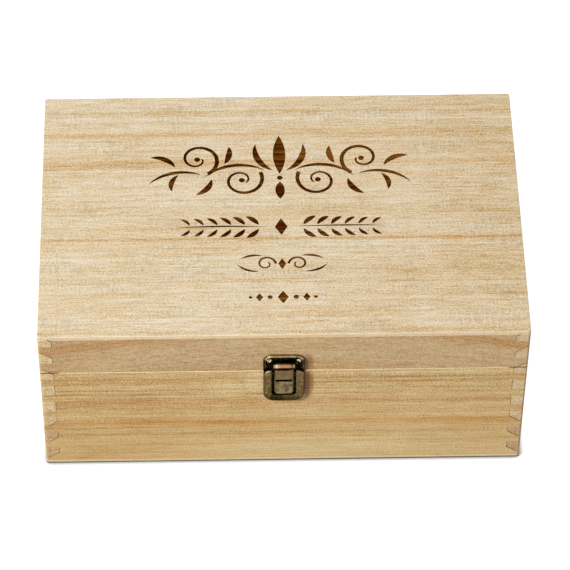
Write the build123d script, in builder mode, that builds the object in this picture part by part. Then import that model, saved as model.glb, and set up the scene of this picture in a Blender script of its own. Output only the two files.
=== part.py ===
from build123d import *
from math import cos, radians, sin, tan
import os

# Keepsake box: ten thin boards and panels, two butt hinges and a hasp latch.
# Millimetres, +Z up, origin at the centre of the underside; the front faces -Y.

# ---------------------------------------------------------------- driving dimensions
# Box
box_width = 300.0
box_depth = 200.0
box_height = 125.0
board_thickness = 8.5
bottom_panel_thickness = 3.0
top_panel_thickness = 2.5
seam_height = 90.8            # middle of the saw cut that parts the lid from the base
seam_gap = 0.3
corner_round = 1.5            # upright outer edges
top_panel_round = 0.5
bottom_panel_round = 1.1
seam_ease = 0.3
glue_line_ease = 0.25

# Corner joints: fingers of the side boards that show on the front and the back
finger_pitch = 15.6
finger_height = 9.6
first_finger_offset = 3.6     # from the bottom panel to the lowest finger
finger_shoulder = 2.0         # level part of a slanted flank, from the outer edge
flank_slant = 5.0
flank_gap = 0.5               # left open under or over a slanted flank
finger_end_gap = 0.3
joint_gap = 0.08
thinnest_finger = 1.0         # the saw cut leaves no thinner sliver of a finger
thinnest_web = 2.0            # nor a thinner strip of board beside one

# Hinges
hinge_length = 30.0
hinge_end_distance = 55.0     # from the box's side to the middle of the hinge
hinge_inset = 1.25            # from the back face in to the pin's axis
hinge_leaf_thickness = 1.0
hinge_leaf_reach = 13.0       # from the pin's axis to the leaf's far edge
hinge_leaf_corner = 2.0
hinge_pin_radius = 1.25
knuckle_gap = 0.15
lid_opening_angle = 98.0
bevel_spare_angle = 1.0       # so that the beveled back boards stop short of each other
pocket_clearance = 0.85       # between the barrels and the pockets in the wood
screw_inset = 5.5             # from the leaf's end to a screw
screw_radius = 1.1
screw_head_radius = 2.1
screw_head_depth = 0.8
screw_recess_length = 2.6      # of each arm of the cross in a screw's head
screw_recess_width = 0.6
screw_recess_depth = 0.45
tip_cover = 3.0               # wood left behind the tip of a screw or nail
fixed_fit = 0.02              # radial, between a fastener or fixed pin and its hole
running_fit = 0.05            # radial, between a pin and the piece that turns on it

# Latch
plate_thickness = 0.6
hasp_plate_width = 25.6
hasp_plate_height = 12.65
hasp_plate_corner = 5.8
plate_gap = 0.6               # between the hasp plate's rim and the catch plate
rim_width = 1.35
rim_height = 1.6
rim_ease = 0.45
hasp_axis_height = 7.2        # above the seam
hasp_axis_stand = 2.35        # in front of the wood
hasp_roll_radius = 1.55
hasp_roll_width = 10.8
hasp_pin_radius = 0.6
ear_thickness = 1.0
ear_gap = 0.15
tongue_width = 11.6
tongue_length = 27.2          # from the pin's axis to the tongue's tip
tongue_clearance = 0.4        # between the tongue and the plates behind it
tongue_thickness = 0.9
tongue_corner = 1.8
neck_length = 2.7             # from the pin's axis to the tongue's full width
pad_margin = 0.55             # from the tongue's sides to the raised pads
upper_pad_top = 5.3           # below the pin's axis
upper_pad_height = 8.4
upper_pad_rise = 0.4
lower_pad_height = 11.5
lower_pad_rise = 0.6
pad_ease = 0.25
slit_width = 10.7
slit_height = 1.5
catch_plate_width = 25.4
catch_plate_height = 29.05
catch_lap = 2.2               # of the catch plate's arms, above the seam
catch_corner = 7.0
catch_shoulder = 4.7
catch_frame_rise = 2.9
catch_ease = 1.3
catch_slot_corner = 2.2
tongue_side_gap = 1.75
tongue_tip_gap = 0.8
nail_radius = 0.6
nail_head_rise = 0.8
hasp_nail_head_radius = 1.6
hasp_nail_spacing = 18.2
hasp_nail_drop = 5.5          # below the top edge of the hasp plate
catch_nail_head_radius = 1.1
catch_nail_height = 11.3      # above the bottom edge of the catch plate

# Engraved decoration on the lid
engraving_depth = 0.35
engraving_side_margin = 67.0
engraving_front_margin = 23.0
drawn_half_width = 83.0       # of the decoration, in its own units
drawn_half_height = 77.0

# ---------------------------------------------------------------- derived places
half_width = box_width / 2
half_depth = box_depth / 2
frame_bottom = bottom_panel_thickness
frame_top = box_height - top_panel_thickness
base_top = seam_height - seam_gap / 2
lid_bottom = seam_height + seam_gap / 2
first_finger = frame_bottom + first_finger_offset
finger_count = int((frame_top - first_finger) // finger_pitch) + 1

hinge_axis_y = half_depth - hinge_inset
hinge_places = [-(half_width - hinge_end_distance), half_width - hinge_end_distance]
barrel_radius = hinge_inset + hinge_leaf_thickness
pocket_radius = barrel_radius + pocket_clearance
leaf_setback = barrel_radius + 0.5 * hinge_leaf_thickness
back_bevel = radians(lid_opening_angle / 2 + bevel_spare_angle)
fastener_depth = board_thickness - tip_cover

latch_face = Plane.XZ.offset(half_depth)
catch_plate_top = seam_height + catch_lap
catch_plate_bottom = catch_plate_top - catch_plate_height
hasp_plate_bottom = catch_plate_top + plate_gap
hasp_plate_top = hasp_plate_bottom + hasp_plate_height
hasp_flange_bottom = lid_bottom + seam_ease
hasp_axis = (0, -half_depth - hasp_axis_stand, seam_height + hasp_axis_height)
tongue_tip = hasp_axis[2] - tongue_length
tongue_back = plate_thickness + tongue_clearance
tongue_front = tongue_back + tongue_thickness
slot_width = tongue_width + 2 * tongue_side_gap
pad_width = tongue_width - 2 * pad_margin
pad_corner = tongue_corner - pad_margin
arm_middle = (slot_width + catch_plate_width) / 4


os.makedirs("parts", exist_ok=True)


# ---------------------------------------------------------------- shared shapes
def write_piece(piece, node):
    """Label a finished piece and write it to its own file."""
    piece.part.label = node
    export_step(piece.part, f"parts/{node}.step")


def polygon(*points):
    """Add the face inside the points to the sketch that is open."""
    with BuildLine() as outline:
        Polyline(*points, close=True)
    make_face(outline.edges())


def turn(place, facing, profile, mode=Mode.ADD):
    """Revolve a (radius, height) outline about the line that leaves the wood at place."""
    with BuildSketch(Plane(origin=place, x_dir=(facing, 0, 0), z_dir=(0, 0, 1))) as section:
        polygon(*profile)
    revolve(section.sketch, axis=Axis(place, (0, facing, 0)), mode=mode)


def fingers_between(low, high):
    """Indices of the fingers that a board from low to high shares."""
    shared = []
    for index in range(finger_count):
        bottom = first_finger + index * finger_pitch
        overlap = min(high, bottom + finger_height) - max(low, bottom)
        if overlap > thinnest_finger:
            shared.append(index)
    return shared


def finger_face(index, notch, board_low, board_high):
    """One finger seen from the front, at the right-hand end, or the wider notch that takes it.

    A finger that would leave only a thin strip of its board runs on past that board's edge.
    """
    grow = joint_gap if notch else 0
    gap = flank_gap if notch else 0
    inner = half_width - board_thickness - (finger_end_gap if notch else 0)
    outer = half_width + grow
    shoulder = half_width - finger_shoulder
    low = first_finger + index * finger_pitch
    high = low + finger_height
    if low - thinnest_web < board_low < low:
        low = board_low - thinnest_web
    if high < board_high < high + thinnest_web:
        high = board_high + thinnest_web
    low -= grow
    high += grow
    level = (index + 0.5) / finger_count
    slants_up = level < 1 / 3
    slants_down = level > 2 / 3
    low_flank = [(inner, low)]
    high_flank = [(inner, high)]
    if slants_up:
        low_flank = [(shoulder, low - gap), (inner, low - gap + flank_slant)]
    if slants_down:
        high_flank = [(inner, high + gap - flank_slant), (shoulder, high + gap)]
    polygon((outer, low), *low_flank, *high_flank, (outer, high))


def shell(low, high, seam_face_last):
    """Outer form of one tier of boards, with its eased edges and the bevel along the back seam."""
    outward = -1 if seam_face_last else 1
    with BuildPart() as form:
        with BuildSketch(Plane.XY.offset(low)):
            RectangleRounded(box_width, box_depth, corner_round)
        extrude(amount=high - low)
        levels = form.faces().sort_by(Axis.Z)
        seam_face = levels[-1] if seam_face_last else levels[0]
        glued_face = levels[0] if seam_face_last else levels[-1]
        chamfer(seam_face.edges(), seam_ease)
        chamfer(glued_face.edges(), glue_line_ease)
        run = 2 * hinge_inset
        with BuildSketch(Plane.YZ.offset(-half_width)):
            polygon(
                (hinge_axis_y, seam_height), (hinge_axis_y + run, seam_height),
                (hinge_axis_y + run, seam_height + outward * run * tan(back_bevel)),
            )
        extrude(amount=box_width, mode=Mode.SUBTRACT)
    return form.part


def long_board(low, high, facing, form):
    """Front (-1) or back (+1) board: as wide as the box, notched at both ends for the fingers."""
    with BuildPart() as board:
        with BuildSketch(Plane.XY.offset(low)):
            with Locations((0, facing * (half_depth - board_thickness / 2))):
                Rectangle(box_width, board_thickness)
        extrude(amount=high - low)
        with BuildSketch(Plane.XZ.offset(-facing * (half_depth - board_thickness))):
            for index in fingers_between(low, high):
                finger_face(index, True, low, high)
            mirror(about=Plane.YZ)
        extrude(amount=-facing * board_thickness, mode=Mode.SUBTRACT)
        add(form, mode=Mode.INTERSECT)
    return board.part


def side_board(low, high, side, form):
    """Left (-1) or right (+1) board, with fingers at both ends."""
    with BuildPart() as board:
        with BuildSketch(Plane.XY.offset(low)):
            with Locations((half_width - board_thickness / 2, 0)):
                Rectangle(board_thickness, box_depth - 2 * board_thickness)
        extrude(amount=high - low)
        with BuildSketch(Plane.XZ):
            for index in fingers_between(low, high):
                finger_face(index, False, low, high)
        extrude(amount=half_depth, both=True)
        add(form, mode=Mode.INTERSECT)
        if side < 0:
            mirror(about=Plane.YZ, mode=Mode.REPLACE)
    return board.part


def hinge_pockets():
    """Round pockets in a back board for the barrels and webs of both hinges."""
    length = hinge_length + 2 * pocket_clearance
    with Locations(*[(x, hinge_axis_y, seam_height) for x in hinge_places]):
        Cylinder(pocket_radius, length, rotation=(0, 90, 0), mode=Mode.SUBTRACT)


def hinge_screw_places(up):
    """Where the four screws of one tier enter the back face."""
    height = seam_height + up * (leaf_setback + hinge_leaf_reach) / 2
    reach = hinge_length / 2 - screw_inset
    return [(x + side * reach, half_depth, height) for x in hinge_places for side in (-1, 1)]


def screw_outline(clearance):
    """Countersunk screw from its axis out: (radius, height over the wood)."""
    neck = screw_radius + clearance
    shoulder = hinge_leaf_thickness - screw_head_depth
    return [
        (0, hinge_leaf_thickness), (screw_head_radius + clearance, hinge_leaf_thickness),
        (neck, shoulder), (neck, -fastener_depth), (0, -fastener_depth),
    ]


def nail(place, head_seat, head_radius):
    """Round-headed nail driven through a latch plate into a front board."""
    crown = head_seat + nail_head_rise
    with BuildSketch(Plane(origin=place, x_dir=(-1, 0, 0), z_dir=(0, 0, 1))) as section:
        with BuildLine():
            Polyline(
                (0, crown), (0, -fastener_depth), (nail_radius, nail_radius - fastener_depth),
                (nail_radius, head_seat), (head_radius, head_seat),
            )
            TangentArc((0, crown), (head_radius, head_seat), tangent=(1, 0))
        make_face()
    revolve(section.sketch, axis=Axis(place, (0, -1, 0)))


def nail_holes(places, front):
    """Holes for the nails, from front ahead of the wood to the nails' tips."""
    radius = nail_radius + fixed_fit
    hole = [(0, front), (radius, front), (radius, -fastener_depth), (0, -fastener_depth)]
    for place in places:
        turn(place, -1, hole, Mode.SUBTRACT)


# ---------------------------------------------------------------- boards and panels
base_form = shell(frame_bottom, base_top, seam_face_last=True)
lid_form = shell(lid_bottom, frame_top, seam_face_last=False)
catch_nail_places = [
    (side * arm_middle, -half_depth, catch_plate_bottom + catch_nail_height) for side in (-1, 1)
]
hasp_nail_places = [
    (side * hasp_nail_spacing / 2, -half_depth, hasp_plate_top - hasp_nail_drop) for side in (-1, 1)
]

with BuildPart() as base_front_board:
    add(long_board(frame_bottom, base_top, -1, base_form))
    nail_holes(catch_nail_places, catch_frame_rise)
write_piece(base_front_board, "base_front_board")

with BuildPart() as base_back_board:
    add(long_board(frame_bottom, base_top, 1, base_form))
    hinge_pockets()
    for screw_place in hinge_screw_places(-1):
        turn(screw_place, 1, screw_outline(fixed_fit), Mode.SUBTRACT)
write_piece(base_back_board, "base_back_board")

with BuildPart() as base_left_board:
    add(side_board(frame_bottom, base_top, -1, base_form))
write_piece(base_left_board, "base_left_board")

with BuildPart() as base_right_board:
    add(side_board(frame_bottom, base_top, 1, base_form))
write_piece(base_right_board, "base_right_board")

with BuildPart() as base_bottom_panel:
    with BuildSketch():
        RectangleRounded(box_width, box_depth, corner_round)
    extrude(amount=bottom_panel_thickness)
    fillet(base_bottom_panel.faces().sort_by(Axis.Z)[0].edges(), bottom_panel_round)
    chamfer(base_bottom_panel.faces().sort_by(Axis.Z)[-1].edges(), glue_line_ease)
write_piece(base_bottom_panel, "base_bottom_panel")

with BuildPart() as lid_front_board:
    add(long_board(lid_bottom, frame_top, -1, lid_form))
    nail_holes(hasp_nail_places, plate_thickness)
write_piece(lid_front_board, "lid_front_board")

with BuildPart() as lid_back_board:
    add(long_board(lid_bottom, frame_top, 1, lid_form))
    hinge_pockets()
    for screw_place in hinge_screw_places(1):
        turn(screw_place, 1, screw_outline(fixed_fit), Mode.SUBTRACT)
write_piece(lid_back_board, "lid_back_board")

with BuildPart() as lid_left_board:
    add(side_board(lid_bottom, frame_top, -1, lid_form))
write_piece(lid_left_board, "lid_left_board")

with BuildPart() as lid_right_board:
    add(side_board(lid_bottom, frame_top, 1, lid_form))
write_piece(lid_right_board, "lid_right_board")


# ---------------------------------------------------------------- engraved decoration
engraving_scale = min(
    (half_width - engraving_side_margin) / drawn_half_width,
    (half_depth - engraving_front_margin) / drawn_half_height,
)


def drawn(x, y):
    """A point of the decoration, from its own units to millimetres on the panel."""
    return Vector(x * engraving_scale, y * engraving_scale)


def leaf(start, tip, bow, width):
    """Pointed leaf or tapered stroke that bows sideways on its way from start to tip."""
    first = drawn(*start)
    last = drawn(*tip)
    along = (last - first).normalized()
    sideways = Vector(-along.Y, along.X) * engraving_scale
    middle = (first + last) / 2
    with BuildLine() as outline:
        ThreePointArc(first, middle + sideways * (bow + width / 2), last)
        ThreePointArc(last, middle + sideways * (bow - width / 2), first)
    make_face(outline.edges())


def scroll(centre, radii, start_angle, sweep, widths):
    """Spiral band that winds from the first radius and width to the second."""
    steps = 12
    edges = {1: [], -1: []}
    for step in range(steps + 1):
        share = step / steps
        angle = radians(start_angle + sweep * share)
        radius = radii[0] + (radii[1] - radii[0]) * share
        width = widths[0] + (widths[1] - widths[0]) * share
        for side, points in edges.items():
            reach = radius + side * width / 2
            points.append(drawn(centre[0] + reach * cos(angle), centre[1] + reach * sin(angle)))
    with BuildLine() as outline:
        Spline(*edges[1])
        Line(edges[1][-1], edges[-1][-1])
        Spline(*edges[-1])
        Line(edges[-1][0], edges[1][0])
    make_face(outline.edges())


def bead(x, y, radius):
    """Round dot of the decoration."""
    with Locations(drawn(x, y)):
        Circle(radius * engraving_scale)


def lozenge(x, y, width, height):
    """Upright diamond of the decoration."""
    polygon(
        drawn(x - width / 2, y), drawn(x, y + height / 2),
        drawn(x + width / 2, y), drawn(x, y - height / 2),
    )


def flourish(y):
    """Right half of the large scrolled ornament, with the whole of its middle leaves."""
    leaf((0, y - 6), (0, y + 27), 0, 8)
    leaf((0, y - 12.5), (0, y - 27), 0, 6)
    bead(0, y - 9.3, 1.8)
    leaf((4, y - 3), (15, y + 20), -4.5, 4.2)
    scroll((24, y - 11), (13.5, 3), 150, 430, (2.6, 1.2))
    bead(24, y - 11, 1.9)
    scroll((52, y + 7), (14, 3), -118, -430, (2.8, 1.2))
    bead(52, y + 7, 1.9)
    leaf((9, y - 3), (47.5, y - 8.5), 7.5, 2.6)
    leaf((49, y - 6.5), (83, y - 14), 6, 2.6)
    leaf((35, y + 3), (32, y + 18), 1.6, 4)
    leaf((66, y + 0.5), (82, y + 9), 3, 3.8)
    leaf((43, y - 10), (53, y - 23), -2.5, 4)
    leaf((64, y - 6), (68, y - 20), 2.4, 3.4)


def laurel(y):
    """Right half of the branch with paired leaves and a diamond in its middle."""
    lozenge(0, y, 8, 14)
    leaf((8, y), (67, y), 0.8, 1.2)
    pairs = 6
    for pair in range(pairs):
        x = 14 + 8.6 * pair
        length = 8 - 0.45 * pair
        width = 3.4 - 0.25 * pair
        for side in (-1, 1):
            root = (x, y + 1.6 * side)
            tip = (x + length, y + side * (1.6 + 0.9 * length))
            leaf(root, tip, side, width)


def knot(y):
    """Right half of the small scrolled ornament."""
    lozenge(0, y, 5, 9)
    scroll((10, y), (6, 1.8), 180, -400, (1.6, 0.9))
    leaf((14, y - 6), (28, y), -2, 1.6)
    leaf((12, y + 6.5), (26, y + 4), 1.5, 1.8)


def beads(y):
    """Right half of the row of diamonds and dots."""
    lozenge(0, y, 7, 10)
    bead(8, y, 1.6)
    lozenge(14.5, y, 4.5, 6.5)
    bead(20, y, 1.1)


with BuildSketch(Plane.XY.offset(box_height)) as decoration:
    flourish(y=38)
    laurel(y=-12.5)
    knot(y=-43)
    beads(y=-70)
    mirror(about=Plane.YZ)

with BuildPart() as lid_top_panel:
    with BuildSketch(Plane.XY.offset(frame_top)):
        RectangleRounded(box_width, box_depth, corner_round)
    extrude(amount=top_panel_thickness)
    fillet(lid_top_panel.faces().sort_by(Axis.Z)[-1].edges(), top_panel_round)
    chamfer(lid_top_panel.faces().sort_by(Axis.Z)[0].edges(), glue_line_ease)
    add(decoration.sketch)
    extrude(amount=-engraving_depth, mode=Mode.SUBTRACT)
write_piece(lid_top_panel, "lid_top_panel")


# ---------------------------------------------------------------- hinges
def hinge_leaf(x, up, knuckles):
    """Leaf of one hinge on the back face; knuckles are (from, to) stretches along the pin."""
    outer = half_depth + hinge_leaf_thickness
    near = seam_height + up * leaf_setback
    bore = hinge_pin_radius + (running_fit if up > 0 else fixed_fit)
    with BuildPart() as hinge:
        with BuildSketch(Plane.XZ.offset(-half_depth)):
            with Locations((x, seam_height + up * (leaf_setback + hinge_leaf_reach) / 2)):
                Rectangle(hinge_length, hinge_leaf_reach - leaf_setback)
            far_corners = vertices().group_by(Axis.Y)[-1 if up > 0 else 0]
            fillet(far_corners, hinge_leaf_corner)
        extrude(amount=-hinge_leaf_thickness)
        for start, end in knuckles:
            with BuildSketch(Plane.YZ.offset(x + start)):
                with Locations((hinge_axis_y, seam_height)):
                    Circle(barrel_radius)
                polygon(
                    (half_depth, seam_height), (outer, seam_height), (outer, near), (half_depth, near),
                )
            extrude(amount=end - start)
        with Locations((x, hinge_axis_y, seam_height)):
            Cylinder(bore, hinge_length, rotation=(0, 90, 0), mode=Mode.SUBTRACT)
        for place in hinge_screw_places(up):
            turn(place, 1, screw_outline(fixed_fit), Mode.SUBTRACT)
    return hinge.part


def hinge_pin(x):
    """Pin of one hinge, along its whole barrel."""
    with BuildPart() as pin:
        with Locations((x, hinge_axis_y, seam_height)):
            Cylinder(hinge_pin_radius, hinge_length, rotation=(0, 90, 0))
    return pin.part


knuckle_length = hinge_length / 3
middle_end = (knuckle_length - knuckle_gap) / 2
outer_start = (knuckle_length + knuckle_gap) / 2
base_knuckles = [(-hinge_length / 2, -outer_start), (outer_start, hinge_length / 2)]
lid_knuckles = [(-middle_end, middle_end)]
for hinge_side, hinge_x in zip(("left", "right"), hinge_places):
    with BuildPart() as base_leaf:
        add(hinge_leaf(hinge_x, -1, base_knuckles))
    write_piece(base_leaf, f"hinge_{hinge_side}_base_leaf")
    with BuildPart() as lid_leaf:
        add(hinge_leaf(hinge_x, 1, lid_knuckles))
    write_piece(lid_leaf, f"hinge_{hinge_side}_lid_leaf")
    with BuildPart() as turning_pin:
        add(hinge_pin(hinge_x))
    write_piece(turning_pin, f"hinge_{hinge_side}_pin")

for tier, up in (("base", -1), ("lid", 1)):
    with BuildPart() as hinge_screws:
        for screw_place in hinge_screw_places(up):
            turn(screw_place, 1, screw_outline(0))
        with BuildSketch(Plane.XZ.offset(-half_depth - hinge_leaf_thickness)):
            with Locations(*[(x, z) for x, _, z in hinge_screw_places(up)]):
                Rectangle(screw_recess_length, screw_recess_width)
                Rectangle(screw_recess_width, screw_recess_length)
        extrude(amount=screw_recess_depth, mode=Mode.SUBTRACT)
    write_piece(hinge_screws, f"hinge_{tier}_screws")


# ---------------------------------------------------------------- latch
with BuildPart() as hasp_plate:
    middle_height = (hasp_plate_bottom + hasp_plate_top) / 2
    with BuildSketch(latch_face):
        with Locations((0, middle_height)):
            Rectangle(hasp_plate_width, hasp_plate_height)
        fillet(vertices().group_by(Axis.Y)[-1], hasp_plate_corner)
    extrude(amount=rim_height)
    fillet(hasp_plate.faces().sort_by(Axis.Y)[0].edges(), rim_ease)
    with BuildSketch(latch_face.offset(plate_thickness)):
        with Locations((0, middle_height - rim_width)):
            Rectangle(hasp_plate_width - 2 * rim_width, hasp_plate_height)
        fillet(vertices().group_by(Axis.Y)[-1], hasp_plate_corner - rim_width)
    extrude(amount=rim_height, mode=Mode.SUBTRACT)
    with BuildSketch(latch_face):
        with Locations((0, (hasp_flange_bottom + hasp_plate_bottom) / 2)):
            Rectangle(hasp_plate_width, hasp_plate_bottom - hasp_flange_bottom)
    extrude(amount=plate_thickness)
    ear_inner = hasp_roll_width / 2 + ear_gap
    for ear_start in (ear_inner, -ear_inner - ear_thickness):
        with BuildSketch(Plane.YZ.offset(ear_start)):
            with Locations((hasp_axis[1], hasp_axis[2])):
                Circle(hasp_roll_radius)
            with Locations((-half_depth - hasp_axis_stand / 2, hasp_axis[2])):
                Rectangle(hasp_axis_stand, 2 * hasp_roll_radius)
        extrude(amount=ear_thickness)
    with Locations(hasp_axis):
        Cylinder(
            hasp_pin_radius + fixed_fit, 2 * (ear_inner + ear_thickness),
            rotation=(0, 90, 0), mode=Mode.SUBTRACT,
        )
    nail_holes(hasp_nail_places, rim_height)
write_piece(hasp_plate, "hasp_plate")

with BuildPart() as hasp_pin:
    with Locations(hasp_axis):
        Cylinder(hasp_pin_radius, 2 * (ear_inner + ear_thickness), rotation=(0, 90, 0))
write_piece(hasp_pin, "hasp_pin")

with BuildPart() as hasp_tongue:
    with BuildSketch(latch_face.offset(tongue_back)):
        with Locations((0, (tongue_tip + hasp_axis[2] - neck_length) / 2)):
            Rectangle(tongue_width, tongue_length - neck_length)
        fillet(vertices().group_by(Axis.Y)[0], tongue_corner)
        with Locations((0, hasp_axis[2] - neck_length)):
            Rectangle(hasp_roll_width, 2 * neck_length)
    extrude(amount=tongue_thickness)
    upper_pad_middle = hasp_axis[2] - upper_pad_top - upper_pad_height / 2
    with BuildSketch(latch_face.offset(tongue_front)):
        with Locations((0, upper_pad_middle)):
            Rectangle(pad_width, upper_pad_height)
        fillet(vertices().group_by(Axis.Y)[-1], pad_corner)
    extrude(amount=upper_pad_rise)
    fillet(hasp_tongue.faces().sort_by(Axis.Y)[0].edges(), pad_ease)
    with BuildSketch(latch_face.offset(tongue_front)):
        with Locations((0, tongue_tip + lower_pad_height / 2)):
            Rectangle(pad_width, lower_pad_height)
        fillet(vertices().group_by(Axis.Y)[0], pad_corner)
    extrude(amount=lower_pad_rise)
    fillet(hasp_tongue.faces().sort_by(Axis.Y)[0].edges(), pad_ease)
    slit_middle = (tongue_tip + lower_pad_height + upper_pad_middle - upper_pad_height / 2) / 2
    with BuildSketch(latch_face):
        with Locations((0, slit_middle)):
            Rectangle(slit_width, slit_height)
    extrude(amount=2 * tongue_front, mode=Mode.SUBTRACT)
    with Locations(hasp_axis):
        Cylinder(hasp_roll_radius, hasp_roll_width, rotation=(0, 90, 0))
        Cylinder(
            hasp_pin_radius + running_fit, hasp_roll_width,
            rotation=(0, 90, 0), mode=Mode.SUBTRACT,
        )
write_piece(hasp_tongue, "hasp_tongue")

with BuildPart() as hasp_nails:
    for nail_place in hasp_nail_places:
        nail(nail_place, plate_thickness, hasp_nail_head_radius)
write_piece(hasp_nails, "hasp_nails")

with BuildPart() as catch_plate:
    slot_bottom = tongue_tip - tongue_tip_gap
    with BuildSketch(latch_face):
        with Locations((0, (catch_plate_bottom + catch_plate_top) / 2)):
            Rectangle(catch_plate_width, catch_plate_height)
        fillet(vertices().group_by(Axis.Y)[-1], catch_shoulder)
        fillet(vertices().group_by(Axis.Y)[0], catch_corner)
    extrude(amount=catch_frame_rise)
    fillet(catch_plate.faces().sort_by(Axis.Y)[0].edges(), catch_ease)
    with BuildSketch(latch_face.offset(plate_thickness)):
        with Locations((0, slot_bottom + catch_plate_height / 2)):
            Rectangle(slot_width, catch_plate_height)
        fillet(vertices().group_by(Axis.Y)[0], catch_slot_corner)
    extrude(amount=catch_frame_rise, mode=Mode.SUBTRACT)
    with BuildSketch(latch_face):      # room behind the arms for the foot of the hasp plate
        with Locations((0, base_top + catch_lap)):
            Rectangle(catch_plate_width, 2 * catch_lap)
    extrude(amount=tongue_back, mode=Mode.SUBTRACT)
    nail_holes(catch_nail_places, catch_frame_rise)
write_piece(catch_plate, "catch_plate")

with BuildPart() as catch_nails:
    for nail_place in catch_nail_places:
        nail(nail_place, catch_frame_rise, catch_nail_head_radius)
write_piece(catch_nails, "catch_nails")
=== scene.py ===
from typing import NamedTuple

import bpy
from mathutils import Matrix, Vector

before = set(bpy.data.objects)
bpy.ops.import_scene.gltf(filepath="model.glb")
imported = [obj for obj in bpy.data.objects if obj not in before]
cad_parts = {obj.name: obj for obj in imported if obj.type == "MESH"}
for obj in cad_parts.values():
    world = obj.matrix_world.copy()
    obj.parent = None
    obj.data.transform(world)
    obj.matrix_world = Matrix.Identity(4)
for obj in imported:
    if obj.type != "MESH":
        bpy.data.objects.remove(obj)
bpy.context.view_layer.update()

# ------------------------------------------------------------------ the box, in mm
# x runs to the right, y to the back and z up from the ground, as in the CAD.
MM_PER_METRE = 1000.0
HALF_LENGTH = 150.0           # of the box along x
HALF_WIDTH = 100.0            # of the box along y, over its boards
SEAM = 90.8                   # level of the saw cut between base and lid
AXIS = {"X": 0, "Y": 1, "Z": 2}

# ------------------------------------------------------------------ camera
PICTURE_WIDTH = 570.0         # pixels of the photograph
SENSOR_WIDTH = 36.0           # mm
FOCAL_LENGTH = 3258.84        # pixels of the photograph
VIEW_END = 20.0               # metres
CAMERA_PLACE = Vector((-0.03876, -1.35814, 1.64725))
CAMERA_RIGHT = Vector((0.99972, -0.02263, 0.00700))
CAMERA_FORWARD = Vector((0.02001, 0.64863, -0.76084))


def add_camera():
    data = bpy.data.cameras.new("camera")
    data.sensor_width = SENSOR_WIDTH
    data.lens = SENSOR_WIDTH * FOCAL_LENGTH / PICTURE_WIDTH
    data.clip_end = VIEW_END
    camera = bpy.data.objects.new("camera", data)
    right = CAMERA_RIGHT.normalized()
    forward = CAMERA_FORWARD.normalized()
    up = right.cross(forward)
    turn = Matrix((right, up, -forward)).transposed().to_4x4()
    camera.matrix_world = Matrix.Translation(CAMERA_PLACE) @ turn
    bpy.context.scene.collection.objects.link(camera)
    bpy.context.scene.camera = camera


# ------------------------------------------------------------------ shader building
def srgb(red, green, blue):
    """Linear colour of an 8-bit screen colour."""
    def channel(value):
        share = value / 255
        return share / 12.92 if share <= 0.04045 else ((share + 0.055) / 1.055) ** 2.4
    return (channel(red), channel(green), channel(blue), 1.0)


def grey(value):
    return (value, value, value, 1.0)


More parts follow.
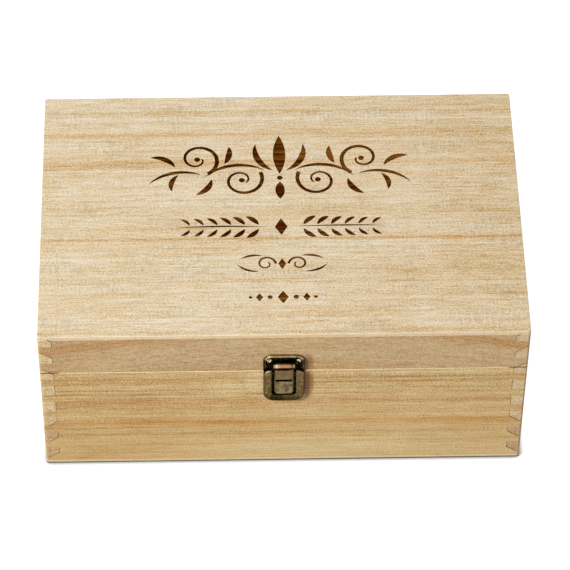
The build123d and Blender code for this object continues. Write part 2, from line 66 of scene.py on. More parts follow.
class Shader:
    """Builds the node tree of one material or world."""

    def __init__(self, owner):
        owner.use_nodes = True
        self.tree = owner.node_tree
        self.tree.nodes.clear()

    def plug(self, socket, value):
        """Feeds a socket from a node, or sets it to a plain value."""
        if isinstance(value, bpy.types.NodeSocket):
            self.tree.links.new(value, socket)
        else:
            socket.default_value = value

    def put(self, kind, inputs=None, **settings):
        """Adds a node. An input that is None stays as it is."""
        node = self.tree.nodes.new("ShaderNode" + kind)
        for name, value in settings.items():
            setattr(node, name, value)
        for key, value in (inputs or {}).items():
            if value is not None:
                self.plug(node.inputs[key], value)
        return node

    def math(self, operation, a, b=None, c=None):
        return self.put("Math", {0: a, 1: b, 2: c}, operation=operation).outputs[0]

    def absolute(self, value):
        return self.math("ABSOLUTE", value)

    def total(self, first, *others):
        for other in others:
            first = self.math("ADD", first, other)
        return first

    def product(self, first, *others):
        for other in others:
            first = self.math("MULTIPLY", first, other)
        return first

    def weigh(self, value, amount, middle=0.5):
        """amount times how far value is above its middle."""
        return self.math("MULTIPLY_ADD", value, amount, -amount * middle)

    def fit(self, value, low, high, to_low=0.0, to_high=1.0, smooth=False):
        """Maps low..high to to_low..to_high, and stays at those ends beyond them."""
        kind = "SMOOTHSTEP" if smooth else "LINEAR"
        inputs = {"Value": value, "From Min": low, "From Max": high, "To Min": to_low, "To Max": to_high}
        return self.put("MapRange", inputs, interpolation_type=kind, clamp=True).outputs["Result"]

    def within(self, value, low, high):
        """1 where value is between low and high."""
        return self.product(self.math("LESS_THAN", value, high), self.math("GREATER_THAN", value, low))

    def band(self, level, centre, width):
        """1 where level is at centre, falling smoothly to 0 at half of width on either side."""
        distance = self.absolute(self.math("SUBTRACT", level, centre))
        return self.fit(distance, 0.0, width / 2, 1.0, 0.0, smooth=True)

    def split(self, vector):
        return self.put("SeparateXYZ", {0: vector}).outputs

    def box_space(self):
        """The place in mm of the box, the same place split into x, y and z, and the split normal."""
        coordinates = self.put("TexCoord").outputs
        place = self.stretch(coordinates["Object"], (MM_PER_METRE,) * 3)
        return place, self.split(place), self.split(coordinates["Normal"])

    def flatness(self, normal):
        """1 on a face that is square to the box, and less on a rounded or a slanted one."""
        largest = self.absolute(normal[0])
        for part in (normal[1], normal[2]):
            largest = self.math("MAXIMUM", largest, self.absolute(part))
        return largest

    def stretch(self, vector, scale, shift=(0, 0, 0)):
        inputs = {0: vector, 1: scale, 2: shift}
        return self.put("VectorMath", inputs, operation="MULTIPLY_ADD").outputs[0]

    def noise(self, vector, detail, roughness):
        inputs = {"Vector": vector, "Scale": 1.0, "Detail": detail, "Roughness": roughness}
        return self.put("TexNoise", inputs).outputs["Fac"]

    def ramp(self, value, stops):
        node = self.put("ValToRGB", {"Fac": value})
        elements = node.color_ramp.elements
        while len(elements) < len(stops):
            elements.new(0.5)
        for element, (place, colour) in zip(elements, stops):
            element.position = place
            element.color = colour
        return node.outputs["Color"]

    def mix(self, factor, a, b, blend="MIX"):
        node = self.put("Mix", data_type="RGBA", blend_type=blend, clamp_factor=True)
        factor_socket, a_socket, b_socket = node.inputs[0], node.inputs[6], node.inputs[7]
        self.plug(factor_socket, factor)
        self.plug(a_socket, a)
        self.plug(b_socket, b)
        return node.outputs[2]

    def bump(self, height, distance, strength):
        inputs = {"Height": height, "Distance": distance, "Strength": strength}
        return self.put("Bump", inputs).outputs["Normal"]

    def surface(self, shader):
        self.put("OutputMaterial", {"Surface": shader})


# ------------------------------------------------------------------ colours of the wood
# ramps from the darkest to the palest tone
PALE = [
    (0.0, srgb(184, 146, 94)), (0.25, srgb(206, 176, 129)), (0.5, srgb(220, 201, 166)),
    (0.75, srgb(229, 215, 191)), (1.0, srgb(238, 229, 212)),
]
PINKISH = [
    (0.0, srgb(146, 108, 70)), (0.25, srgb(176, 142, 99)), (0.5, srgb(197, 168, 125)),
    (0.75, srgb(211, 185, 144)), (1.0, srgb(224, 202, 167)),
]
GOLDEN = [
    (0.0, srgb(152, 108, 58)), (0.25, srgb(185, 148, 92)), (0.5, srgb(205, 174, 119)),
    (0.75, srgb(218, 193, 146)), (1.0, srgb(230, 211, 174)),
]
END_GRAIN = [
    (0.0, srgb(168, 134, 92)), (0.35, srgb(200, 170, 126)), (0.6, srgb(214, 190, 147)),
    (1.0, srgb(232, 216, 182)),
]
CHAR = [(0.0, srgb(46, 13, 0)), (0.5, srgb(76, 35, 2)), (1.0, srgb(128, 82, 26))]

ORANGE = srgb(250, 226, 190)          # multiplied with the colour under it
NARROW_FACE = srgb(222, 202, 164)
NARROW_FACE_SHARE = 0.6
# rounded edges: pale from sanding and a painted highlight, and a painted shade on the upright ones
SANDED_EDGE_AND_HIGHLIGHT = srgb(230, 214, 182)
UPRIGHT_EDGE_SHADE = srgb(172, 144, 102)
FLANK_GLUE = srgb(178, 126, 76)
# painted light on the end walls of the joints' gaps, lifting their shade
PAINTED_END_GAP_LIGHT = srgb(236, 206, 158)
SAW_CUT = srgb(120, 78, 42)
# painted shade along the foot of the box
FOOT_SHADE = srgb(72, 58, 38)


# ------------------------------------------------------------------ grain of the wood
class Pattern(NamedTuple):
    """Noise drawn out along the grain. The length, width and depth of its marks are in mm."""
    length: float
    width: float
    offset: float                     # makes each pattern its own
    detail: float = 1.0
    roughness: float = 0.5
    depth: float = 0.0                # 0 stands for as deep as wide
    bent: bool = True                 # arches and wanders with the grain
    fine: bool = False                # narrowed by the look's fineness
    shown: tuple = (0.0, 1.0)         # values of the noise between which it comes in


MARKS = {
    "broad": Pattern(420, 17, 0.0, detail=2.0, depth=30),
    "cloud": Pattern(60, 26, 33.0, detail=2.0, bent=False),
    "lines": Pattern(260, 1.6, 5.3, depth=12, fine=True),
    "fibres": Pattern(30, 1.1, 9.7, roughness=0.6, fine=True),
    "flecks": Pattern(8, 1.0, 14.9, roughness=0.6, fine=True),
    "specks": Pattern(1.2, 0.9, 21.4, roughness=0.6, fine=True),
}
RINGS = Pattern(480, 10, 41.0, detail=3.0, roughness=0.55, depth=25)
RING_BREAKS = Pattern(55, 8, 47.0, shown=(0.42, 0.62))
TINT_BREAKS = Pattern(90, 12, 52.0, shown=(0.35, 0.6))
BLUSH = Pattern(110, 11, 60.0, detail=2.0, shown=(0.46, 0.68))
RAYS = Pattern(1.5, 9, 70.0, detail=2.0, roughness=0.6, bent=False, shown=(0.35, 0.65))
RAY_ZONES = Pattern(38, 13, 75.0, bent=False, shown=(0.5, 0.64))
WAVE_OFFSET = 3.1

OFFSET_DIRECTION = Vector((1.0, 0.7, -1.3))
RING_WIDTH = 0.03                     # in values of the slow noise whose middle is the ring
BAND_REACH = 0.7                      # share of the half length where a band has its end strength
LEAST_TINT = 0.4                      # share of a tint that is left in its breaks
RAY_SHADES = (0.84, 1.06)
PORES = (0.8, 0.8, 0.8)               # marks per mm
LAYERS = (0.3, 0.3, 0.42)             # marks per mm
PORE_WEIGHT = 1.5
LAYER_WEIGHT = 0.9
DARK_ENDS = (34.0, 46.0, -0.3)        # cut ends are darker below these levels, and by how much

RELIEF_MARKS = {"lines": 0.4, "fibres": 0.6, "flecks": 0.5, "specks": 0.4}
RELIEF_HEIGHT = 0.0001                # metres
RELIEF_STRENGTH = 0.5
FIBRE_RANGE = (0.3, 0.7)              # values of the fibres' noise that give the two roughnesses
WOOD_ROUGHNESS = (0.64, 0.5)
WOOD_SHINE = 0.3

# values of a part of the surface normal between which a face becomes what the name says
FACES_ALONG = (0.6, 0.8)
FACES_ACROSS = (0.8, 0.95)
ROUNDED = (0.985, 0.85)
LEANS = (0.2, 0.4)
FLANK_LIMIT = 0.5                     # a finger's flank or end has less of the normal along y
UPRIGHT_LIMIT = 0.7                   # a finger's end has more of it along x

# places in the corner joints, in mm, each over a short fade
JOINT_INSIDE_X = (140.2, 140.6)       # from the box's middle
JOINT_INSIDE_Y = (90.9, 91.3)
JOINT_OUTSIDE_X = (149.2, 149.5)
CUT_CORNER_X = (137.0, 139.5)
CUT_FACE_Y = (98.9, 99.3)
SEAM_CLEAR_OF_JOINT_PAINT = (0.3, 0.5)        # from the saw cut
CUT_EDGE = (0.45, 0.6)
SHADED_FOOT = (1.2, 1.9)               # from the ground
FOOT_SHADE_WANDER = 0.5

# the engraved ornament: half of its length and width, and the levels of its burnt pockets
ENGRAVED_REACH = (130.0, 88.0)
ENGRAVED_LEVELS = (123.9, 124.95)
CHAR_TONE = 0.45
CHAR_MARKS = {"cloud": 1.6, "lines": 1.2, "fibres": 1.0, "flecks": 0.8}


class Board:
    """Layers of one board's material.

    The grain runs along one axis of the box, and across is the axis of the board's width.
    """

    def __init__(self, shader, look, along, across):
        self.s = shader
        self.look = look
        self.along = along
        self.across = across
        self.through = (set(AXIS) - {along, across}).pop()
        self.seed = Vector(look["seed"])
        self.half = HALF_WIDTH if along == "Y" else HALF_LENGTH
        self.place, self.axes, self.normal = shader.box_space()
        self.run = self.axes[AXIS[along]]
        self.bent = self.bend()
        self.level = shader.split(self.bent)[AXIS[across]]
        self.marks = {name: self.grain(pattern) for name, pattern in MARKS.items()}

    def grain(self, pattern):
        """A pattern's noise in this board."""
        width = pattern.width * (self.look["fineness"] if pattern.fine else 1.0)
        size = {self.along: pattern.length, self.across: width, self.through: pattern.depth or width}
        scale = (1 / size["X"], 1 / size["Y"], 1 / size["Z"])
        shift = self.seed + pattern.offset * OFFSET_DIRECTION
        vector = self.bent if pattern.bent else self.place
        return self.s.noise(self.s.stretch(vector, scale, tuple(shift)), pattern.detail, pattern.roughness)

    def share(self, pattern, to_low=0.0, to_high=1.0):
        """A pattern's noise, mapped from the values between which it comes in."""
        return self.s.fit(self.grain(pattern), *pattern.shown, to_low, to_high)

    def weighed(self, weights):
        """Sum of the marks that weights names, each by its weight."""
        return self.s.total(*(self.s.weigh(self.marks[name], weight) for name, weight in weights.items()))

    def bend(self):
        """The place in mm, moved across the board so that the grain arches and wanders."""
        s = self.s
        arch, middle = self.look["arch"]
        from_middle = s.math("MULTIPLY_ADD", self.run, 1 / self.half, -middle / self.half)
        shift = s.product(from_middle, from_middle, arch)
        for number, (amount, length, width) in enumerate(self.look["waves"]):
            wave = self.grain(Pattern(length, width, WAVE_OFFSET + number, bent=False))
            shift = s.total(s.weigh(wave, amount), shift)
        move = s.put("CombineXYZ", {AXIS[self.across]: shift}).outputs[0]
        return s.put("VectorMath", {0: self.place, 1: move}, operation="ADD").outputs[0]

    def tone(self):
        """How pale the grown wood is, from 0 to 1, with the painted shadows among its patches."""
        s = self.s
        look = self.look
        tone = s.total(
            s.math("MULTIPLY_ADD", self.run, look["slope"] / self.half, look["tone"]),
            self.weighed(look["coarse_marks"]),
            s.product(self.weighed(look["fine_marks"]), s.fit(self.level, *look["calm"])),
        )
        tone = s.math("MULTIPLY_ADD", self.rings(), -look["rings"], tone)
        for centre, width, left, right in look["bands"]:
            amount = s.fit(self.run, -BAND_REACH * self.half, BAND_REACH * self.half, left, right)
            tone = s.math("MULTIPLY_ADD", s.band(self.level, centre, width), amount, tone)
        for patch in look["patches"]:
            tone = s.total(tone, self.patch(*patch))
        return tone

    def rings(self):
        """Growth rings: thin broken lines where a slow pattern passes its middle."""
        s = self.s
        ridge = s.absolute(s.math("SUBTRACT", self.grain(RINGS), 0.5))
        return s.product(s.fit(ridge, 0.0, RING_WIDTH, 1.0, 0.0, smooth=True), self.share(RING_BREAKS))

    def patch(self, middle_along, middle_across, length, width, amount):
        """Change of tone in an oval patch, in mm, strongest in its middle. On the front boards some
        patches are painted shadows of the latch.
        """
        s = self.s
        u = s.math("DIVIDE", s.math("SUBTRACT", self.run, middle_along), length / 2)
        v = s.math("DIVIDE", s.math("SUBTRACT", self.level, middle_across), width / 2)
        return s.fit(s.total(s.product(u, u), s.product(v, v)), 0.0, 1.0, amount, 0.0, smooth=True)

    def grown(self):
        """Colour of the wood along its grain, with orange tints."""
        s = self.s
        colour = s.ramp(self.tone(), self.look["colours"])
        for centre, width, amount in self.look["tints"]:
            broken = self.share(TINT_BREAKS, LEAST_TINT * amount, amount)
            tinted = s.product(s.band(self.level, centre, width), broken)
            colour = s.mix(tinted, colour, ORANGE, "MULTIPLY")
        return s.mix(self.share(BLUSH, 0.0, self.look["blush"]), colour, ORANGE, "MULTIPLY")

    def add_rays(self, colour):
        """Short marks that stand across the grain, in zones."""
        s = self.s
        level = self.share(RAYS, *RAY_SHADES)
        shade = s.put("CombineColor", {0: level, 1: level, 2: level}).outputs[0]
        zone = self.share(RAY_ZONES, 0.0, self.look["rays"])
        return s.mix(zone, colour, s.mix(1.0, colour, shade, "MULTIPLY"))

    def add_cut_ends(self, colour):
        """Ends cut across the grain: paler, with fine pores, and darker low on the box."""
        s = self.s
        low, high, darker = DARK_ENDS
        tone = s.total(0.5, s.fit(self.axes[2], low, high, darker, 0.0))
        for scale, weight in ((PORES, PORE_WEIGHT), (LAYERS, LAYER_WEIGHT)):
            marks = s.noise(s.stretch(self.place, scale, tuple(self.seed)), 2.0, 0.6)
            tone = s.total(tone, s.weigh(marks, weight))
        faces_along = s.fit(s.absolute(self.normal[AXIS[self.along]]), *FACES_ALONG)
        return s.mix(faces_along, colour, s.ramp(tone, END_GRAIN))

    def add_edges(self, colour):
        """Narrow faces are paler, and sanded edges paler still, partly as a painted highlight; upright
        edges get a painted shade instead.
        """
        s = self.s
        faces_across = s.absolute(self.normal[AXIS[self.across]])
        colour = s.mix(s.fit(faces_across, *FACES_ACROSS, 0.0, NARROW_FACE_SHARE), colour, NARROW_FACE)
        rounded = s.fit(s.flatness(self.normal), *ROUNDED, 0.0, self.look["edge"])
        leans = s.fit(s.absolute(self.normal[2]), *LEANS)
        return s.mix(rounded, colour, s.mix(leans, UPRIGHT_EDGE_SHADE, SANDED_EDGE_AND_HIGHLIGHT))

    def add_joints(self, colour):
        """Glue in the flank gaps of the corner joints, painted light on the walls of their end gaps, and
        the darker saw cut that passes through them.
        """
        s = self.s
        x = s.absolute(self.axes[0])
        y = s.absolute(self.axes[1])
        from_seam = s.absolute(s.math("SUBTRACT", self.axes[2], SEAM))
        glue_and_gap_light = s.product(
            s.fit(x, *JOINT_INSIDE_X), s.fit(y, *JOINT_INSIDE_Y), s.fit(x, *JOINT_OUTSIDE_X, 1.0, 0.0),
            s.math("LESS_THAN", s.absolute(self.normal[1]), FLANK_LIMIT),
            s.fit(from_seam, *SEAM_CLEAR_OF_JOINT_PAINT),
        )
        upright = s.math("GREATER_THAN", s.absolute(self.normal[0]), UPRIGHT_LIMIT)
        colour = s.mix(glue_and_gap_light, colour, s.mix(upright, FLANK_GLUE, PAINTED_END_GAP_LIGHT))
        cut = s.product(
            s.fit(from_seam, *CUT_EDGE, 1.0, 0.0), s.fit(x, *CUT_CORNER_X), s.fit(y, *CUT_FACE_Y)
        )
        return s.mix(cut, colour, SAW_CUT)

    def add_foot_shade(self, colour):
        """A painted shade along the foot, where the box stands on the ground."""
        s = self.s
        level = s.total(self.axes[2], s.weigh(self.marks["fibres"], FOOT_SHADE_WANDER))
        return s.mix(s.fit(level, *SHADED_FOOT, 1.0, 0.0, smooth=True), colour, FOOT_SHADE)

    def relief(self):
        return self.s.bump(self.weighed(RELIEF_MARKS), RELIEF_HEIGHT, RELIEF_STRENGTH)

    def roughness(self):
        return self.s.fit(self.marks["fibres"], *FIBRE_RANGE, *WOOD_ROUGHNESS)

    def char_colour(self):
        return self.s.ramp(self.s.total(CHAR_TONE, self.weighed(CHAR_MARKS)), CHAR)

    def engraved(self):
        """1 inside the burnt pockets of the ornament."""
        s = self.s
        inside = s.within(self.axes[2], *ENGRAVED_LEVELS)
        for coordinate, reach in zip(self.axes[:2], ENGRAVED_REACH):
            inside = s.product(inside, s.math("LESS_THAN", s.absolute(coordinate), reach))
        return inside


def wood(name, look, along, across):
    """Bare sanded wood."""
    material = bpy.data.materials.new(name)
    s = Shader(material)
    board = Board(s, look, along, across)
    colour = board.add_rays(board.grown())
    colour = board.add_cut_ends(colour)
    colour = board.add_edges(colour)
    if look["jointed"]:
        colour = board.add_joints(colour)
    if look["grimy"]:
        colour = board.add_foot_shade(colour)
    relief = board.relief()
    shader = s.put("BsdfPrincipled", {
        "Base Color": colour, "Roughness": board.roughness(), "Specular IOR Level": WOOD_SHINE,
        "Normal": relief,
    })
    if look["burnt"]:
        char = s.put("BsdfDiffuse", {"Color": board.char_colour(), "Normal": relief})
        shader = s.put("MixShader", {0: board.engraved(), 1: shader.outputs[0], 2: char.outputs[0]})
    s.surface(shader.outputs[0])
    return material


# ------------------------------------------------------------------ looks of the boards
# Places and sizes are in mm, and a level is a place across the board.
# tone, slope: tone in the middle, from 0 to 1, and its change to the right end
# coarse_marks, fine_marks, rings, blush, rays: how strongly each shows
# fineness: width of the fine marks, as a share of the usual one
# calm: two levels, and the strength of the fine marks at each
# arch: how far the grain drops over half the board's length, and where it is highest
# waves: how far the grain wanders, and the length and width of one wave
# bands: level, width, and change of tone at the left and the right
# patches: middle along and across the board, length, width, and change of tone; on the front boards some
# are painted shadows of the latch
# tints: level, width, and amount of orange
# edge: share of the colour on rounded edges: sanded pallor with a painted highlight, and a painted shade
# on upright edges
# jointed, grimy, burnt: whether it has corner joints, a painted shade along its foot, and engraved pockets
COMMON = {
    "tone": 0.5, "slope": 0.0, "coarse_marks": {"broad": 0.3, "cloud": 0.3},
    "fine_marks": {"lines": 0.5, "fibres": 0.45, "flecks": 0.5, "specks": 0.8},
    "fineness": 1.0, "calm": (0.0, 1.0, 1.0, 1.0), "arch": (0.0, 0.0), "waves": [(1.6, 160, 60)],
    "rings": 0.12, "bands": [], "patches": [], "tints": [], "blush": 0.3, "rays": 0.25, "edge": 0.5,
    "jointed": False, "grimy": False, "burnt": False,
}


def board_look(seed, colours, **changes):
    """The common look with its own seed and colours, and with some entries changed."""
    return {**COMMON, "seed": seed, "colours": colours, **changes}


TOP = board_look(
    seed=(3.1, 7.7, 1.9), colours=PALE, tone=0.51, slope=-0.03, rays=0.9, burnt=True,
    coarse_marks={"broad": 0.25, "cloud": 0.3},
    fine_marks={"lines": 0.5, "fibres": 0.5, "flecks": 0.75, "specks": 1.45},
    patches=[(128, 10, 90, 200, -0.08)],
    bands=[
        (95, 5, 0.08, 0.0), (86, 6, -0.1, -0.16), (80, 7, 0.14, 0.16), (67, 13, -0.1, -0.12),
        (56, 7, 0.14, -0.05), (42, 15, -0.16, -0.04), (38, 3, -0.12, -0.12), (17, 11, 0.1, 0.06),
        (1, 12, -0.08, -0.04), (-22, 4, -0.22, -0.2), (-34, 3, -0.12, 0.0), (-45, 8, 0.0, -0.08),
        (-69, 12, 0.05, -0.04), (-82, 3, 0.0, -0.2), (-87, 7, 0.12, 0.14), (-97, 4, -0.12, -0.2),
    ],
    tints=[(42, 14, 0.5), (-22, 5, 0.6), (66, 12, 0.3)],
)
BOTTOM = board_look(seed=(9.4, 1.3, 2.2), colours=GOLDEN, tone=0.6, edge=0.3, grimy=True)
LID_FRONT = board_look(
    seed=(11.3, 2.3, 5.1), colours=PINKISH, tone=0.44, slope=0.05, rays=0.1, blush=0.45, jointed=True,
    coarse_marks={"broad": 0.15, "cloud": 0.3},
    fine_marks={"lines": 0.05, "fibres": 0.5, "flecks": 0.75, "specks": 1.1},
    fineness=0.65, arch=(18.0, 5.0), waves=[(5.0, 70, 26), (1.6, 14, 7)], rings=0.04,
    # painted shadow of the latch, to its right
    patches=[(14.5, 98, 9, 22, -0.45)],
    bands=[(129, 16, -0.02, -0.13)],
    tints=[(129, 18, 0.75)],
)
BASE_FRONT = board_look(
    seed=(6.1, 4.9, 8.3), colours=GOLDEN, tone=0.46, slope=0.03, blush=0.2, jointed=True,
    coarse_marks={"broad": 0.2, "cloud": 0.25},
    fine_marks={"lines": 0.65, "fibres": 0.6, "flecks": 0.8, "specks": 2.0},
    fineness=0.65, calm=(10, 80, 0.55, 0.95),
    patches=[
        (10, 14, 190, 34, 0.16), (-34, 74, 30, 30, 0.12), (-17, 80, 18, 26, 0.25),
        # these two: painted shadows of the latch, to its right and below it
        (14.5, 79, 10, 34, -0.6), (2, 62, 28, 7, -0.25),
    ],
    bands=[
        (87.3, 3.5, 0.14, 0.14), (83.3, 3.5, -0.2, -0.2), (79, 3, -0.14, -0.14), (75.5, 4, 0.12, 0.12),
        (72.8, 2.5, -0.1, -0.1), (69, 3, -0.14, -0.14), (66.5, 3, 0.1, 0.1), (61, 9, -0.1, -0.1),
        (46, 8, 0.1, 0.1), (40, 9, -0.06, -0.06), (29, 5, -0.12, -0.08),
    ],
    tints=[(60, 9, 0.5), (40, 14, 1.0)],
)


def plain_board(seed, colours):
    return board_look(seed, colours, jointed=True)


# each wood node: the axis of its grain, the axis of its width, and its look
WOODS = {
    "lid_top_panel": ("X", "Y", TOP),
    "base_bottom_panel": ("X", "Y", BOTTOM),
    "lid_front_board": ("X", "Z", LID_FRONT),
    "lid_back_board": ("X", "Z", plain_board((21.7, 5.3, 9.9), PINKISH)),
    "lid_left_board": ("Y", "Z", plain_board((4.3, 15.1, 6.6), PINKISH)),
    "lid_right_board": ("Y", "Z", plain_board((17.9, 8.2, 3.4), PINKISH)),
    "base_front_board": ("X", "Z", BASE_FRONT),
    "base_back_board": ("X", "Z", plain_board((13.6, 19.4, 7.2), GOLDEN)),
    "base_left_board": ("Y", "Z", plain_board((8.8, 3.7, 16.5), GOLDEN)),
    "base_right_board": ("Y", "Z", plain_board((2.6, 12.9, 11.7), GOLDEN)),
}


# ------------------------------------------------------------------ metal
BLACK = srgb(16, 14, 10)
DARK_OLIVE_GREY = srgb(44, 40, 28)
DARK_UMBER = srgb(44, 28, 13)
UMBER = srgb(52, 38, 22)
DEEP_OLIVE = srgb(72, 63, 42)
OLIVE = srgb(96, 80, 52)
BROWN = srgb(106, 87, 60)
DULL_BRASS = srgb(130, 117, 87)
BRASS = srgb(144, 122, 86)
PALE_BRASS = srgb(204, 186, 144)
COPPER = srgb(166, 122, 82)
TAN = srgb(186, 164, 122)
PAINTED_SPARKLE = srgb(236, 228, 206)
GLOSS_TINT = srgb(176, 148, 112)

# the metal's noises: marks per mm, shift and roughness
MOTTLE = ((0.9, 0.9, 0.9), (0, 0, 0), 0.65)
STAIN = ((0.35, 0.35, 0.35), (4, 9, 2), 0.6)
SCRATCH = ((0.5, 3.0, 3.4), (1, 3, 8), 0.6)
METAL_DETAIL = 3.0
MOTTLE_RANGE = (0.3, 0.7)             # the ranges are values of the noise
# painted glints in the black hollows
PAINTED_GLINT_RANGE = (0.6, 0.66)
PAINTED_GLINT_SHARE = 0.45
STAIN_RANGE = (0.4, 0.6)
STAIN_SHARE = 0.85
SCRATCH_RANGE = (0.35, 0.55)
LEAST_RUBBED_AND_HIGHLIT = 0.3                    # share of the rubbing and painted highlight that is left between the scratches
LEAST_SHADED = 0.8                    # share of a shade that is left in its mottle
EDGE_FLATNESS = (0.97, 0.8)
ROUGH_MOTTLE = 0.25                   # how far each noise changes the roughness
ROUGH_SCRATCH = 0.15
METAL_RELIEF = 0.00006                # metres
METAL_RELIEF_STRENGTH = 0.6

# the tongue's roll, in mm: a painted reflection runs along it from the left to the right, and its lower
# part has a painted shade
ROLL_PAINTED_SHINE = [(0.0, PALE_BRASS), (0.12, PALE_BRASS), (0.3, COPPER), (0.75, COPPER), (0.95, DEEP_OLIVE)]
ROLL_ENDS = (-6.0, 6.0)
ROLL_WANDER = 5.0
ROLL_PAINTED_SHADE_BELOW = (-0.9, 0.1)         # from its axis
ROLL_REACH = 0.2                      # beyond its radius


def add_shades(s, colour, shades, measures, mottle):
    for amount, tint, ranges in shades:
        share = s.fit(mottle, *MOTTLE_RANGE, amount, LEAST_SHADED * amount)
        for measure, low, high in ranges:
            share = s.product(share, s.fit(measures[measure], low, high, smooth=True))
        colour = s.mix(share, colour, tint)
    return colour


def add_patina_and_shade(s, colour, patina_and_shade, measures, mottle):
    """Black: patina where polish never reached, and painted shade under and between the parts, with a few
    painted glints.
    """
    painted_glint = s.mix(s.fit(mottle, *PAINTED_GLINT_RANGE, 0.0, PAINTED_GLINT_SHARE), BLACK, BRASS)
    for half_width, low, high, rise in patina_and_shade:
        inside = s.product(
            s.math("LESS_THAN", measures["across"], half_width),
            s.math("LESS_THAN", measures["height"], rise), s.within(measures["z"], low, high),
        )
        colour = s.mix(inside, colour, painted_glint)
    return colour


def add_roll(s, colour, roll, axes, stain):
    # painted reflection along the roll, and painted shade on its lower part
    centre_y, centre_z, radius = roll
    y = s.math("SUBTRACT", axes[1], centre_y)
    z = s.math("SUBTRACT", axes[2], centre_z)
    near = s.math("LESS_THAN", s.total(s.product(z, z), s.product(y, y)), (radius + ROLL_REACH) ** 2)
    along = s.total(axes[0], s.weigh(stain, ROLL_WANDER))
    painted_shine = s.ramp(s.fit(along, *ROLL_ENDS), ROLL_PAINTED_SHINE)
    above = s.fit(z, *ROLL_PAINTED_SHADE_BELOW, smooth=True)
    return s.mix(near, colour, s.mix(above, UMBER, painted_shine))


def bronze(
    name, body, worn_and_highlight, roughness=0.36, patch_share=0.45, rubbed_and_highlit=0.8, patches=(0.5, 0.68),
    shades=(), patina_and_shade=(), roll=None,
):
    """Antique bronze in its body's colour, with paler patches where the finish has gone, and paler along
    its edges from rubbing and a painted highlight.

    patch_share, rubbed_and_highlit: share of the paler colour in the patches, and along the edges, where
    it stands for rubbing and a painted highlight.
    patches: values of the mottle between which the patches come in.
    shades: amount, colour, and for some measures the values between which they bring it in.
    patina_and_shade: black patina and painted shade; half width, lowest and highest level, and height over
    the wood, in mm.
    roll: y and z of its axis, and its radius, in mm.
    """
    material = bpy.data.materials.new(name)
    s = Shader(material)
    place, axes, normal = s.box_space()
    measures = {
        "x": axes[0], "z": axes[2], "across": s.absolute(axes[0]), "up": normal[2],
        "height": s.math("SUBTRACT", -HALF_WIDTH, axes[1]),
    }
    mottle, stain, scratch = (
        s.noise(s.stretch(place, scale, shift), METAL_DETAIL, noise_roughness)
        for scale, shift, noise_roughness in (MOTTLE, STAIN, SCRATCH)
    )

    colour = s.mix(s.fit(stain, *STAIN_RANGE, 0.0, STAIN_SHARE), body, DEEP_OLIVE)
    colour = s.mix(s.fit(mottle, *patches, 0.0, patch_share), colour, worn_and_highlight)
    # rounded edges: paler from rubbing and a painted highlight
    edges = s.fit(s.flatness(normal), *EDGE_FLATNESS, 0.0, rubbed_and_highlit)
    scratched = s.fit(scratch, *SCRATCH_RANGE, LEAST_RUBBED_AND_HIGHLIT, 1.0)
    colour = s.mix(s.product(edges, scratched), colour, worn_and_highlight)
    colour = add_shades(s, colour, shades, measures, mottle)
    colour = add_patina_and_shade(s, colour, patina_and_shade, measures, mottle)
    if roll:
        colour = add_roll(s, colour, roll, axes, stain)

    shader = s.put("BsdfPrincipled", {
        "Base Color": colour, "Metallic": 1.0, "Specular Tint": GLOSS_TINT,
        "Roughness": s.total(roughness, s.weigh(mottle, ROUGH_MOTTLE), s.weigh(scratch, ROUGH_SCRATCH)),
        "Normal": s.bump(s.total(mottle, scratch), METAL_RELIEF, METAL_RELIEF_STRENGTH),
    })
    s.surface(shader.outputs[0])
    return material


HASP_PLATE = bronze(
    "hasp_plate_bronze", BRASS, TAN, roughness=0.3,
    patina_and_shade=[
        (11.45, 91.0, 104.9, 1.2),                                        # inside the raised rim: patina and painted shade
        (12.9, 91.0, 93.6, 0.7),                                          # painted shade on the foot behind the arms
    ],
    shades=[
        (0.95, DARK_UMBER, [("across", 11.0, 11.8), ("z", 105.0, 102.0)]),    # both sides of the rim
        (0.8, BLACK, [("x", -11.0, -12.0), ("z", 104.0, 102.0)]),             # its left side
    ],
)
CATCH_PLATE = bronze(
    "catch_bronze", OLIVE, TAN, rubbed_and_highlit=0.45,
    patina_and_shade=[(7.5, 70.0, 91.0, 1.9)],                                     # painted shade between the arms, under the tongue
    shades=[
        (0.9, DARK_OLIVE_GREY, [("z", 73.0, 66.0)]),                                 # the bottom of the U
        (0.8, UMBER, [("x", 11.6, 12.2), ("z", 92.7, 89.7)]),             # painted shade on the outside of the right arm
        (0.7, DARK_OLIVE_GREY, [("x", -11.3, -11.7), ("x", -12.4, -12.1)]),          # painted shade in a line down the left arm
        (0.7, BLACK, [("x", -8.4, -8.0), ("x", 0.0, -1.0)]),              # painted shadow on the inside of the left arm
        (0.6, UMBER, [("height", 2.2, 1.6), ("across", 12.0, 12.4)]),     # painted shade low on both outsides
        (0.5, UMBER, [("up", 0.4, 0.7), ("z", 86.0, 89.0)]),              # painted shade on the tops of the arms, dimming their highlight
    ],
)
TONGUE = bronze(
    "tongue_bronze", DULL_BRASS, BRASS, roughness=0.42, rubbed_and_highlit=0.5,
    patina_and_shade=[
        (6.0, 70.0, 96.6, 1.3),                                           # painted shade on its back, and low on its sides
        (6.0, 93.1, 96.6, 2.05),                                          # painted shadow of the roll, between the roll and the pads
        (5.1, 82.5, 84.1, 1.95),                                          # painted shade in the slit between the pads
    ],
    roll=(-102.35, 98.0, 1.55),
    shades=[
        (0.7, BROWN, [("z", 83.3, 84.5)]),                                # from the upper pad up
        (0.5, UMBER, [("across", 5.3, 5.7)]),                             # both sides
    ],
)
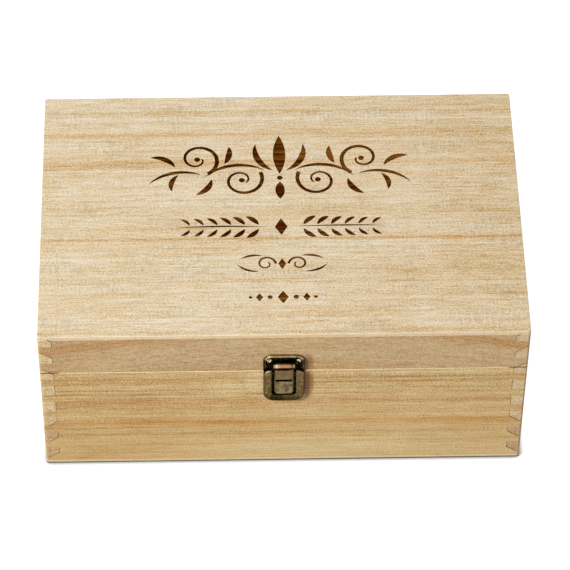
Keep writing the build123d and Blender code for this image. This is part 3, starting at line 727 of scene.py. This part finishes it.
# nail heads: dark, with painted sparkles in their bright patches
NAIL = bronze("nail_bronze", DARK_OLIVE_GREY, PAINTED_SPARKLE, roughness=0.12, patch_share=1.0, rubbed_and_highlit=0.2, patches=(0.5, 0.56))
CATCH_NAIL = bronze("catch_nail_bronze", DEEP_OLIVE, BRASS, roughness=0.45, patch_share=0.6, rubbed_and_highlit=0.3)
HINGE = bronze("hinge_bronze", OLIVE, TAN, roughness=0.4, patch_share=0.35)

METALS = {
    "hasp_plate": HASP_PLATE, "catch_plate": CATCH_PLATE, "hasp_tongue": TONGUE,
    "hasp_pin": NAIL, "hasp_nails": NAIL, "catch_nails": CATCH_NAIL,
}


def dress_pieces():
    """Gives each CAD piece its material. The hinges and their screws share one."""
    for node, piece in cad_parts.items():
        if node in WOODS:
            along, across, look = WOODS[node]
            finish = wood(node + "_wood", look, along, across)
        else:
            finish = METALS.get(node, HINGE)
        piece.data.materials.clear()
        piece.data.materials.append(finish)


# ------------------------------------------------------------------ floor, lamps and world
FLOOR_REACH = 8.0
FLOOR_GREY = 0.45
FLOOR_GLOW = 0.95
CONTACT_REACH = 0.0045                # of the dark line where the box stands
CONTACT_RANGE = (0.45, 0.97)
SKY_LIGHT = 0.22
SKY_SEEN = 1.0
KEY_PLACE = Vector((-2.9, -1.95, 2.75))
KEY_POWER = 246.0
KEY_SIZE = 1.1
FILL_PLACE = Vector((3.0, 1.6, 0.28))     # low, so that it lights the right side and the back alone
FILL_POWER = 42.0
FILL_SIZE = 0.5


def seen_directly(s):
    """1 for camera, mirror and glass rays."""
    path = s.put("LightPath").outputs
    seen = s.math("MAXIMUM", path["Is Camera Ray"], path["Is Glossy Ray"])
    return s.math("MAXIMUM", seen, path["Is Transmission Ray"])


def floor_paper():
    """White where it is seen. Its glow hides the lamps' shadows, but not the dark contact line."""
    material = bpy.data.materials.new("floor_paper")
    s = Shader(material)
    paper = s.put("BsdfDiffuse", {"Color": grey(FLOOR_GREY)})
    beside = s.put("AmbientOcclusion", {"Distance": CONTACT_REACH}, samples=16).outputs["AO"]
    open_floor = s.fit(beside, *CONTACT_RANGE, 0.0, FLOOR_GLOW)
    strength = s.product(seen_directly(s), open_floor)
    glow = s.put("Emission", {"Color": grey(1.0), "Strength": strength})
    s.surface(s.put("AddShader", {0: paper.outputs[0], 1: glow.outputs[0]}).outputs[0])
    return material


def add_floor():
    corners = [
        (-FLOOR_REACH, -FLOOR_REACH, 0), (FLOOR_REACH, -FLOOR_REACH, 0),
        (FLOOR_REACH, FLOOR_REACH, 0), (-FLOOR_REACH, FLOOR_REACH, 0),
    ]
    mesh = bpy.data.meshes.new("floor")
    mesh.from_pydata(corners, [], [(0, 1, 2, 3)])
    mesh.materials.append(floor_paper())
    floor = bpy.data.objects.new("floor", mesh)
    bpy.context.scene.collection.objects.link(floor)


def add_lamp(name, place, power, size):
    """Square lamp that faces the middle of the floor."""
    data = bpy.data.lights.new(name, "AREA")
    data.energy = power
    data.size = size
    lamp = bpy.data.objects.new(name, data)
    lamp.location = place
    lamp.rotation_mode = "QUATERNION"
    lamp.rotation_quaternion = (-place).to_track_quat("-Z", "Y")
    bpy.context.scene.collection.objects.link(lamp)


def add_world():
    world = bpy.data.worlds.new("studio")
    s = Shader(world)
    strength = s.fit(seen_directly(s), 0.0, 1.0, SKY_LIGHT, SKY_SEEN)
    sky = s.put("Background", {"Color": grey(1.0), "Strength": strength})
    s.put("OutputWorld", {"Surface": sky.outputs[0]})
    bpy.context.scene.world = world


dress_pieces()
add_camera()
add_floor()
add_lamp("key", KEY_PLACE, KEY_POWER, KEY_SIZE)
add_lamp("fill", FILL_PLACE, FILL_POWER, FILL_SIZE)
add_world()
bpy.context.scene.view_settings.view_transform = "Standard"
